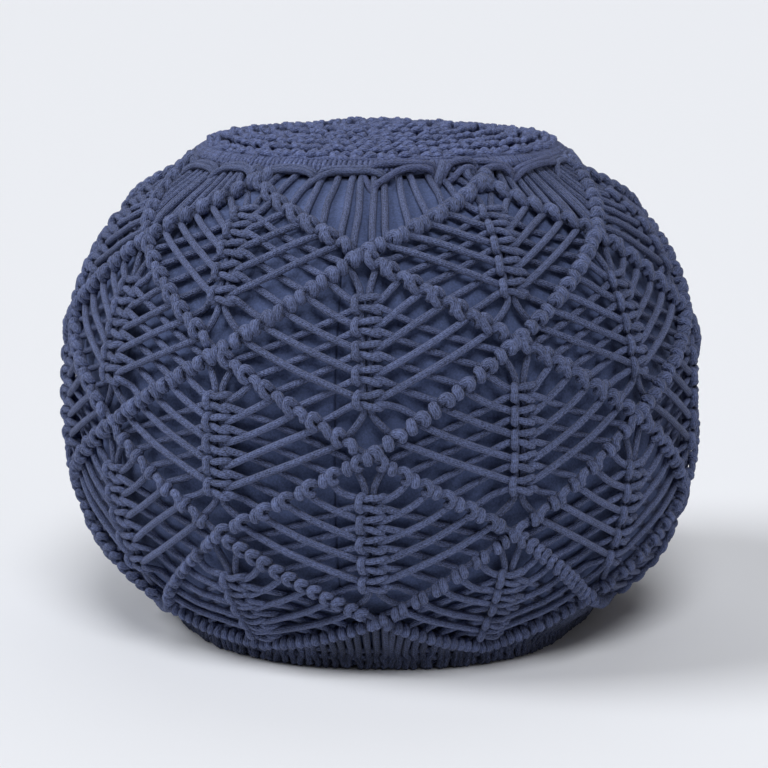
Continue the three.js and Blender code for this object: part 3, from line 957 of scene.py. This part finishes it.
LACING_SECOND = np.array([
    (-2.4, 2.4, 8.0), (-0.9, 5.0, 4.2), (2.0, 9.4, 2.0), (4.6, 13.6, 1.0), (7.6, 16.0, 0.6),
    (11.2, 16.4, 0.6), (14.0, 15.8, 2.2), (15.2, 14.4, 5.8), (17.6, 9.2, 8.4), (20.0, 8.6, 4.4),
    (22.2, 12.2, 1.8), (24.8, 14.8, 0.8), (27.0, 15.0, 2.2), (28.0, 13.6, 5.8), (28.0, 11.4, 6.8),
    (28.6, 11.6, 4.0), (30.8, 13.4, 1.4), (34.0, 14.0, 0.6), (36.8, 12.6, 1.0), (38.8, 8.6, 3.8),
    (39.2, 5.4, 7.4), (40.2, 5.8, 4.4), (43.4, 9.0, 1.4), (49.0, 11.7, 0.6), (55.0, 12.6, 0.6),
    (60.0, 12.7, 1.6), (61.6, 12.6, 5.0),
])
JOINT_RISE = 17.0
JOINT_DEPTH = 6.2

# Spans of the stitches round the rim, in degrees, with their rise over the usual height
FRONT_SPANS = np.array([(-72, -55), (-54.5, -39.5), (-36.3, -19.2), (-19.4, 0.6)])
FRONT_RISE = np.array([-6.0, -3.2, -1.2, 0.0])
FIRST_BACK_TURN = 58.4
BACK_SPANS = 17

# Short upright cord that ties the disc down in front: degrees round, millimetres up from the rim, depth
TIE = np.array([
    (15.6, 6.0, 8.0), (15.8, 8.0, 4.6), (16.6, 12.5, 2.4),
    (17.8, 17.5, 1.2), (18.4, 21.0, 2.2), (18.6, 22.5, 6.0),
])

# Cords of the fans: place of the last one beside the tip, in degrees and metres up, share of their
# spread that is left at the top, height and depth of their tops, and share of the way down and depth
# of the three points below
FAN_BESIDE_TIP = (2.0, 5 * MM)
FAN_GATHER = 0.86
FAN_TOP = 16.5 * MM
FAN_TOP_DEPTH = 6.6 * MM
FAN_SHARES = np.array([0.15, 0.5, 0.8])
FAN_DEPTHS = MM * np.array([6.6, 6.2, 6.4])


def header_places(spans, rise, table, rng, loose):
    """Places of one header cord in every span of turn (n, 2): its table's shares stretched over the
    span, each raised by its rise and each control point moved by up to loose millimetres."""
    shape = (len(spans), len(table))
    share, up, depth = table.T
    turn = spans[:, :1] + (spans[:, 1:] - spans[:, :1]) * share
    up = up + rise[:, None] + rng.uniform(-loose, loose, shape)
    depth = depth + rng.uniform(-loose, loose, shape) * 0.5
    return rim_places(np.stack([turn, up, depth], axis=-1))


def rim_places(table):
    """Places on the side for rows of degrees round, millimetres up from the rim, and depth."""
    turn, up, depth = np.moveaxis(table, -1, 0)
    return np.stack([np.radians(turn), 1 + up * MM / SIDE_LENGTH, depth * MM], axis=-1)


def level_rings(share, rings, cord, tone):
    """Closed rings of cord round the pouf, each given as millimetres up from a share and depth."""
    turn = np.broadcast_to(TURN * np.arange(RING_POINTS) / RING_POINTS, (len(rings), RING_POINTS))
    up, depth = rings.T[..., None] * MM
    places = np.stack(np.broadcast_arrays(turn, share + up / SIDE_LENGTH, depth), axis=-1)
    return side_cord(places, cord / 2, tone, closed=True)


def fan_parts(rng, cord):
    """The cords that go straight down from the header to the ridges beside each crossing of row 0,
    and one more on either side of it. Their tops are drawn together towards the crossing."""
    a, b = (v[:, None] for v in crossings([0], 1))
    tip = on_lattice(a, b)
    parts = []
    for side in (-1, 1):
        near_tip = tip + (side * math.radians(FAN_BESIDE_TIP[0]), FAN_BESIDE_TIP[1] / SIDE_LENGTH)
        ends = np.concatenate([on_lower_edge(a - 1, b, side, PAIR_WAYS), near_tip], axis=1)
        gather = FAN_GATHER + rng.uniform(-0.07, 0.05, ends.shape[:-1])
        top = ends.copy()
        top[..., 0] = tip[..., 0] + (ends[..., 0] - tip[..., 0]) * gather
        top[..., 1] = 1 + FAN_TOP / SIDE_LENGTH
        start = with_depth(top, FAN_TOP_DEPTH).reshape(-1, 1, 3)
        end = with_depth(ends, UNDER_RIDGE_DEPTH - 1 * MM).reshape(-1, 1, 3)
        middle = start + (end - start) * FAN_SHARES[:, None]
        middle[..., 2] = FAN_DEPTHS
        middle[..., 0] += rng.uniform(-0.006, 0.006, middle.shape[:-1])
        controls = np.concatenate([start, middle, end], axis=1)
        parts.append(side_cord(controls, cord / 2, rng.uniform(0, 1, len(controls)), 11))
    return parts


class POUF_OT_header(bpy.types.Operator):
    """Header stitches round the rim and the cords that fan down from them"""

    bl_idname = "pouf.header"
    bl_label = "Header and fans"

    def execute(self, context):
        cord = context.scene.pouf_sizes.cord
        rng = np.random.default_rng(41)
        add_piece("header_fans", fan_parts(rng, cord))
        edges = np.linspace(FIRST_BACK_TURN, 360 + FRONT_SPANS[0, 0], BACK_SPANS + 1)
        edges[1:-1] += rng.uniform(-1.6, 1.6, BACK_SPANS - 1)
        spans = np.concatenate([FRONT_SPANS, np.stack([edges[:-1], edges[1:]], axis=-1)])
        rise = np.append(FRONT_RISE, rng.uniform(-3.5, 0, BACK_SPANS))
        girth = cord / 2 * taper(HEADER_POINTS, (0, 0.2, 0.8, 1), (0.7, 0.9, 0.9, 0.75))
        stitches = []
        for table in (HEADER_LOWER, HEADER_UPPER):
            controls = header_places(spans, rise, table, rng, 0.5)
            stitches.append(side_cord(controls, girth, rng.uniform(0, 1, len(controls)), HEADER_POINTS))
        stitches.append(side_cord(rim_places(TIE)[None], cord / 2 * 1.15, count=14))
        add_piece("header_stitches", stitches, ["header_ring"])
        # Tones below the usual paint the rings inside the header darker, as painted shade.
        add_piece("header_core", [level_rings(1, HEADER_RINGS, cord, (-0.4, 0.2))])
        return {"FINISHED"}


FOOT_CORDS = 13

# Lower part of a foot cord: millimetres up from the floor's edge, and depth. Rings that these cords
# are knotted on, in the same way, and their tones, all below 0, which paint them darker as painted
# shade under the pouf.
FOOT_TURN = np.array([(10.0, 8.2), (6.0, 6.8), (2.0, 5.0), (-3.0, 3.4), (-8.0, 2.6)])
FOOT_RINGS = np.array([(-7.5, 4.4), (10.0, 9.6), (4.5, 8.0)])
FOOT_RING_SHADES = (-0.4, -0.8, -0.8)
FOOT_MIDDLE_DEPTH = 7.4 * MM


class POUF_OT_foot(bpy.types.Operator):
    """Cords that go on under the pouf and the rings that they are knotted on"""

    bl_idname = "pouf.foot"
    bl_label = "Foot of the net"

    def execute(self, context):
        """Each foot cord starts under a ridge of the last row, passes a point half-way down and
        follows FOOT_TURN round the floor's edge."""
        cord = context.scene.pouf_sizes.cord
        rng = np.random.default_rng(53)
        way = (np.arange(FOOT_CORDS) + 0.5) / FOOT_CORDS
        a, b = (v[:, None] for v in crossings([LAST_ROW - 1], 1))
        points = len(FOOT_TURN)
        parts = []
        for side in (-1, 1):
            ridge = on_ridge(a, b, side, way)
            turn = ridge[..., :1] + rng.uniform(-0.012, 0.012, ridge.shape[:-1] + (1 + points,))[..., 1:]
            share, depth = FOOT_TURN.T * MM
            depth = depth + rng.uniform(-0.5, 0.5, turn.shape) * MM
            low = np.stack(np.broadcast_arrays(turn, share / SIDE_LENGTH, depth), axis=-1)
            start = with_depth(ridge, UNDER_RIDGE_DEPTH)[..., None, :]
            middle = start + (low[..., :1, :] - start) * 0.5
            middle[..., 2] = FOOT_MIDDLE_DEPTH
            controls = np.concatenate([start, middle, low], axis=-2).reshape(-1, 2 + points, 3)
            # Tones far below 0 paint the foot cords dark, as painted shade under the pouf's bulge.
            tone = rng.uniform(-2.2, -1.2, len(controls))
            parts.append(side_cord(controls, cord / 2 * 1.04, tone, 14, sides=7))
        parts.append(level_rings(0, FOOT_RINGS, cord, FOOT_RING_SHADES))
        add_piece("foot_cords", parts)
        return {"FINISHED"}


# Crocheted top

BACK_HOLLOW = 4.5 * MM
HOLLOW_RADII = MM * np.array([25, 65, 108, 129])
EDGE_SLOPE = 0.7


def on_disc(turn, out, height):
    """Points of the crocheted top at a turn, a distance out from the crown along its curve, and a
    height over its outer form, with the unit normals there. Past its edge it goes on outwards and
    down. Behind the crown it is sunk by up to BACK_HOLLOW, as the cosine of the turn."""
    turn, out, height = np.broadcast_arrays(turn, out, height)
    share = 1 - out / DISC_LENGTH
    up, outwards, z, r = (np.interp(share, DISC_SHARE, v) for v in (*DISC_TANGENT.T, *DISC.T))
    over = np.maximum(out - DISC_LENGTH, 0) * EDGE_SLOPE
    r = r + height * up + over
    hollow = np.interp(r, HOLLOW_RADII, (0, 1, 1, 0)) * np.maximum(-np.cos(turn), 0)
    z = z - height * outwards - over - BACK_HOLLOW * hollow
    return round_place(z, r, turn), outward(up, outwards, turn)


def disc_cord(turn, out, height, count, radius, tone, closed=False):
    """Tubes along points of the crocheted top (m, n), or along the smooth curves of count points
    through them, with its normal as reference."""
    points, normal = (catmull_rom(v, count) if count else v for v in on_disc(turn, out, height))
    return sweep(points, radius, normal, sides=6, tone=tone, closed=closed)


# Rounds of treble stitches: distances from the crown at which the rounds end, stitches that each
# round has more than the one before, share of a stitch by which it starts later, and the waves of
# its line: millimetres, waves in the round, and phase for each round
ROUND_ENDS = MM * np.array([3, 15, 31, 47, 63, 79, 94, 107, 119])
STITCHES_MORE = 12
ROUND_START = 0.37
DRIFTS = ((1.0, 3, 2.1), (0.8, 7, 1.0))

# Edge of the disc: ribs round it, each through these distances out from the crown and heights over
# the outer form, and the closed rings of cord above and below them
EDGE_RIBS = 232
EDGE_RIB = MM * np.array([(121.5, -4.6), (123.5, -2.4), (126.5, -1.5), (130, -1.6), (133, -2.8)])
EDGE_RIB_RADIUS = 1.9 * MM
EDGE_RINGS = MM * np.array([(121.8, -1.8), (131.2, -4.8)])

# Layer under the stitches, painted dark as painted shade between them: heights of its upper and lower face,
# and columns of points round it
UNDERLAY = (-7.4 * MM, -9.4 * MM)
UNDERLAY_COLUMNS = 112

# Shapes of the parts of one stitch, in millimetres. The two legs of its top: along the round, away
# from the round's line, height over the outer form.
TOP_LEG = np.array([
    (-4.8, 0.2, -6.6), (-3.6, 1.1, -3.0), (-1.2, 2.1, -0.7),
    (1.2, 2.6, -0.4), (3.3, 2.1, -2.4), (4.4, 1.0, -6.4),
])

# How far inside the round's end its line is, and how much lower the leg nearer to the crown lies
LEG_INSET = 1.5 * MM
INNER_LEG_DROP = 0.8 * MM

# The two strands of its post: across the post, share of the way out, height
POST_STRAND = np.array([
    (-1.5, -0.05, -7.6), (-2.0, 0.2, -5.6), (-1.9, 0.5, -4.9), (-1.5, 0.8, -5.6), (-0.9, 1.0, -7.6),
])


def stitch_parts(number, rng, cord):
    """One round of the crocheted top. Each stitch has a post of two strands that leads out from the
    round before, and a top of two legs that lie along the round and overlap the next stitch's.
    Distances along a round are turned by their length over the distance from the crown."""
    count = STITCHES_MORE * number
    start, end = ROUND_ENDS[number - 1], ROUND_ENDS[number]
    turn = TURN * (np.arange(count) + ROUND_START * number) / count
    turn = (turn + rng.uniform(-0.9, 0.9, count) * MM / end)[:, None]
    drift = MM * sum(size * np.sin(waves * turn + phase * number) for size, waves, phase in DRIFTS)
    leg_along, leg_off, leg_height = TOP_LEG.T * MM
    parts = []
    for side in (-1, 1):
        # One leg of every stitch's top
        wobble = rng.uniform(-0.6, 0.6, (count, len(TOP_LEG), 3)) * MM
        shift = rng.uniform(-1.0, 1.0, (count, 3)) * MM
        slant = rng.uniform(-0.45, 0.45, (count, 1))
        reach = side * leg_off + wobble[..., 1] + slant * leg_along
        out = end - LEG_INSET + reach + (drift + shift[:, 1:2])
        along = leg_along + wobble[..., 0] + shift[:, :1]
        height = leg_height + 0.6 * wobble[..., 2] + 1.2 * shift[:, 2:] - INNER_LEG_DROP * (side < 0)
        girth = cord / 2 * taper(8, (0, 0.3, 0.7, 1), (0.55, 1.02, 1.06, 0.55))
        girth = girth * rng.uniform(0.92, 1.08, (count, 1))
        tone = rng.uniform(0, 1, count)
        parts.append(disc_cord(turn + along / np.maximum(out, 4 * MM), out, height, 8, girth, tone))
        # One strand of every stitch's post
        across, way, height = POST_STRAND.T
        wobble = rng.uniform(-0.4, 0.4, (count, len(way), 2)) * MM
        out = start + (end - start) * way + drift * np.clip(way, 0, 1)
        across = side * across * MM + wobble[..., 0]
        # Tones below 0 paint the posts darker, as painted shade between the stitches' tops.
        tone = rng.uniform(-1.4, -0.6, count)
        parts.append(disc_cord(turn + across / np.maximum(out, 7 * MM), out, height * MM + wobble[..., 1],
                               6, cord / 2 * 0.9, tone))
    return parts


def edge_parts(rng, cord):
    """Upright ribs round the disc's edge and the two rings of cord beside them, whose height goes
    up and down as a sine wave round the disc."""
    turn = TURN * np.arange(EDGE_RIBS) / EDGE_RIBS + rng.uniform(-0.004, 0.004, EDGE_RIBS)
    lean = rng.uniform(-0.006, 0.006, (EDGE_RIBS, 1)) * np.linspace(-1, 1, len(EDGE_RIB))
    girth = EDGE_RIB_RADIUS * rng.uniform(0.92, 1.08, (EDGE_RIBS, 1))
    ribs = disc_cord(turn[:, None] + lean, *EDGE_RIB.T, 7, girth, rng.uniform(0, 1, EDGE_RIBS))
    turn = TURN * np.arange(180) / 180
    out, height = EDGE_RINGS.T[..., None]
    weave = 0.5 * MM * np.sin(37 * turn)
    return [ribs, disc_cord(turn, out, height + weave, 0, cord / 2 * 0.8, 0.5, closed=True)]


class POUF_OT_crochet_top(bpy.types.Operator):
    """Crocheted disc that closes the top"""

    bl_idname = "pouf.crochet_top"
    bl_label = "Crocheted top"

    def execute(self, context):
        """The rounds of stitches, the edge, and a thin closed layer under them, so that no light
        shows between the stitches. The layer is painted dark, as painted shade between the stitches,
        and runs out past the edge between its two heights."""
        cord = context.scene.pouf_sizes.crochet_cord
        rng = np.random.default_rng(61)
        parts = []
        for number in range(1, len(ROUND_ENDS)):
            parts += stitch_parts(number, rng, cord)
        parts += edge_parts(rng, cord)
        out = np.maximum(np.linspace(0, DISC_LENGTH + 2 * MM, 30), 0.3 * MM)[:, None]
        rounds = np.arange(UNDERLAY_COLUMNS + 1) / UNDERLAY_COLUMNS
        upper, lower = (on_disc(TURN * rounds[:-1], out, height)[0] for height in UNDERLAY)
        # Tone -1.6 paints the layer dark: painted shade between the stitches.
        parts.append(grid_surface(np.concatenate([upper, lower[::-1]]), -1.6, rounds))
        material = braided_cotton("crocheted_cotton_cord", context.scene.pouf_colours.top)
        add_piece("crocheted_top", parts, ["crochet_top"], material)
        return {"FINISHED"}


class POUF_OT_lacing(bpy.types.Operator):
    """Cord that laces the crocheted top to the header"""

    bl_idname = "pouf.lacing"
    bl_label = "Lacing cord"

    def execute(self, context):
        """One cord that starts and ends at the front. There it shows as two strands, one from its
        start and one from its end, and round the rest of the rim it runs in the joint under the
        disc's edge."""
        cord = context.scene.pouf_sizes.lacing_cord
        hidden = np.arange(LACING_FIRST[-1, 0] + 3, 360 + LACING_SECOND[0, 0] - 1, 3.0)
        joint = np.stack(np.broadcast_arrays(hidden, JOINT_RISE, JOINT_DEPTH), axis=-1)
        controls = np.concatenate([LACING_FIRST, joint, LACING_SECOND + (360, 0, 0)])
        tube = side_cord(rim_places(controls)[None], cord / 2, count=5 * len(controls))
        material = braided_cotton("braided_cotton_lacing", context.scene.pouf_colours.lacing)
        add_piece("lacing", [tube], ["lacing_cord"], material)
        return {"FINISHED"}


# Studio lights: place that the light comes from, spread in degrees, strength and tint
LIGHTS = {
    "left_softbox": ((-1.0, -0.15, 0.9), 28.0, 1.9, "#f9fbff"),
    "front_softbox": ((0.1, -0.95, 1.42), 26.0, 1.78, "#f9fbff"),
    "right_fill": ((0.9, -0.4, 0.8), 110.0, 0.42, "#fff9f6"),
    "back_softbox": ((0.0, 0.8, 1.2), 45.0, 0.42, "#f9fbff"),
}
AIR_TINT = "#e9ecf4"
AIR_STRENGTH = 0.03
FLOOR_RADIUS = 12.0

# The photograph's camera: its place, the place that it looks at, lens and shift
EYE = Vector((0, -1.76828, 0.50539))
LOOKED_AT = Vector((0, 0, 0.169))
LENS = 119.9
SHIFT = (0.0040, -0.0152)


class POUF_OT_stage(bpy.types.Operator):
    """Pale floor, soft studio light and the camera"""

    bl_idname = "pouf.stage"
    bl_label = "Stage"

    def execute(self, context):
        scene = context.scene
        turn = TURN * np.arange(64) / 64
        points = FLOOR_RADIUS * np.stack([np.cos(turn), np.sin(turn), 0 * turn], axis=-1)
        mesh = bpy.data.meshes.new("studio_floor")
        mesh.from_pydata(points.tolist(), [], [list(range(64))])
        mesh.materials.append(painted_floor("painted_studio_floor", scene.pouf_colours.floor))
        floor = bpy.data.objects.new("studio_floor", mesh)
        context.collection.objects.link(floor)

        scene.world = bpy.data.worlds.new("studio_air")
        scene.world.use_nodes = True
        air = scene.world.node_tree.nodes["Background"]
        air.inputs["Color"].default_value = (*linear(AIR_TINT), 1.0)
        air.inputs["Strength"].default_value = AIR_STRENGTH
        scene.view_settings.view_transform = "Standard"

        for name, (place, spread, strength, tint) in LIGHTS.items():
            light = bpy.data.lights.new(name, "SUN")
            light.angle = math.radians(spread)
            light.energy = strength
            light.color = linear(tint)
            self.place(context, bpy.data.objects.new(name, light), Vector(place), Vector((0, 0, 0)))

        data = bpy.data.cameras.new("camera")
        data.sensor_width = 36.0
        data.lens = LENS
        data.shift_x, data.shift_y = SHIFT
        camera = bpy.data.objects.new("camera", data)
        self.place(context, camera, EYE, LOOKED_AT)
        scene.camera = camera
        return {"FINISHED"}

    def place(self, context, thing, place, target):
        """Puts a light or the camera at a place, turned to its target."""
        thing.location = place
        thing.rotation_euler = (target - place).to_track_quat("-Z", "Y").to_euler()
        context.collection.objects.link(thing)


class POUF_PT_panel(bpy.types.Panel):
    """The pouf's sizes, colours and pieces"""

    bl_idname = "POUF_PT_panel"
    bl_label = "Macrame pouf"
    bl_space_type = "VIEW_3D"
    bl_region_type = "UI"
    bl_category = "Pouf"

    def draw(self, context):
        for group in (context.scene.pouf_sizes, context.scene.pouf_colours):
            box = self.layout.box()
            for key in group.__annotations__:
                box.prop(group, key)
        for operator in OPERATORS:
            self.layout.operator(operator.bl_idname)


OPERATORS = (
    POUF_OT_stage, POUF_OT_bag, POUF_OT_ridges, POUF_OT_square_knots, POUF_OT_floats,
    POUF_OT_header, POUF_OT_foot, POUF_OT_crochet_top, POUF_OT_lacing,
)
CLASSES = (PoufSizes, PoufColours) + OPERATORS + (POUF_PT_panel,)


def register():
    """Registers the classes and puts the sizes and colours on the scene."""
    for one in CLASSES:
        bpy.utils.register_class(one)
    bpy.types.Scene.pouf_sizes = PointerProperty(type=PoufSizes)
    bpy.types.Scene.pouf_colours = PointerProperty(type=PoufColours)


def unregister():
    """Takes away what register() added."""
    del bpy.types.Scene.pouf_sizes
    del bpy.types.Scene.pouf_colours
    for one in reversed(CLASSES):
        bpy.utils.unregister_class(one)


def main():
    register()
    bpy.ops.pouf.stage()
    bpy.ops.pouf.bag()
    bpy.ops.pouf.ridges()
    bpy.ops.pouf.square_knots()
    bpy.ops.pouf.floats()
    bpy.ops.pouf.header()
    bpy.ops.pouf.foot()
    bpy.ops.pouf.crochet_top()
    bpy.ops.pouf.lacing()


if __name__ == "__main__":
    main()
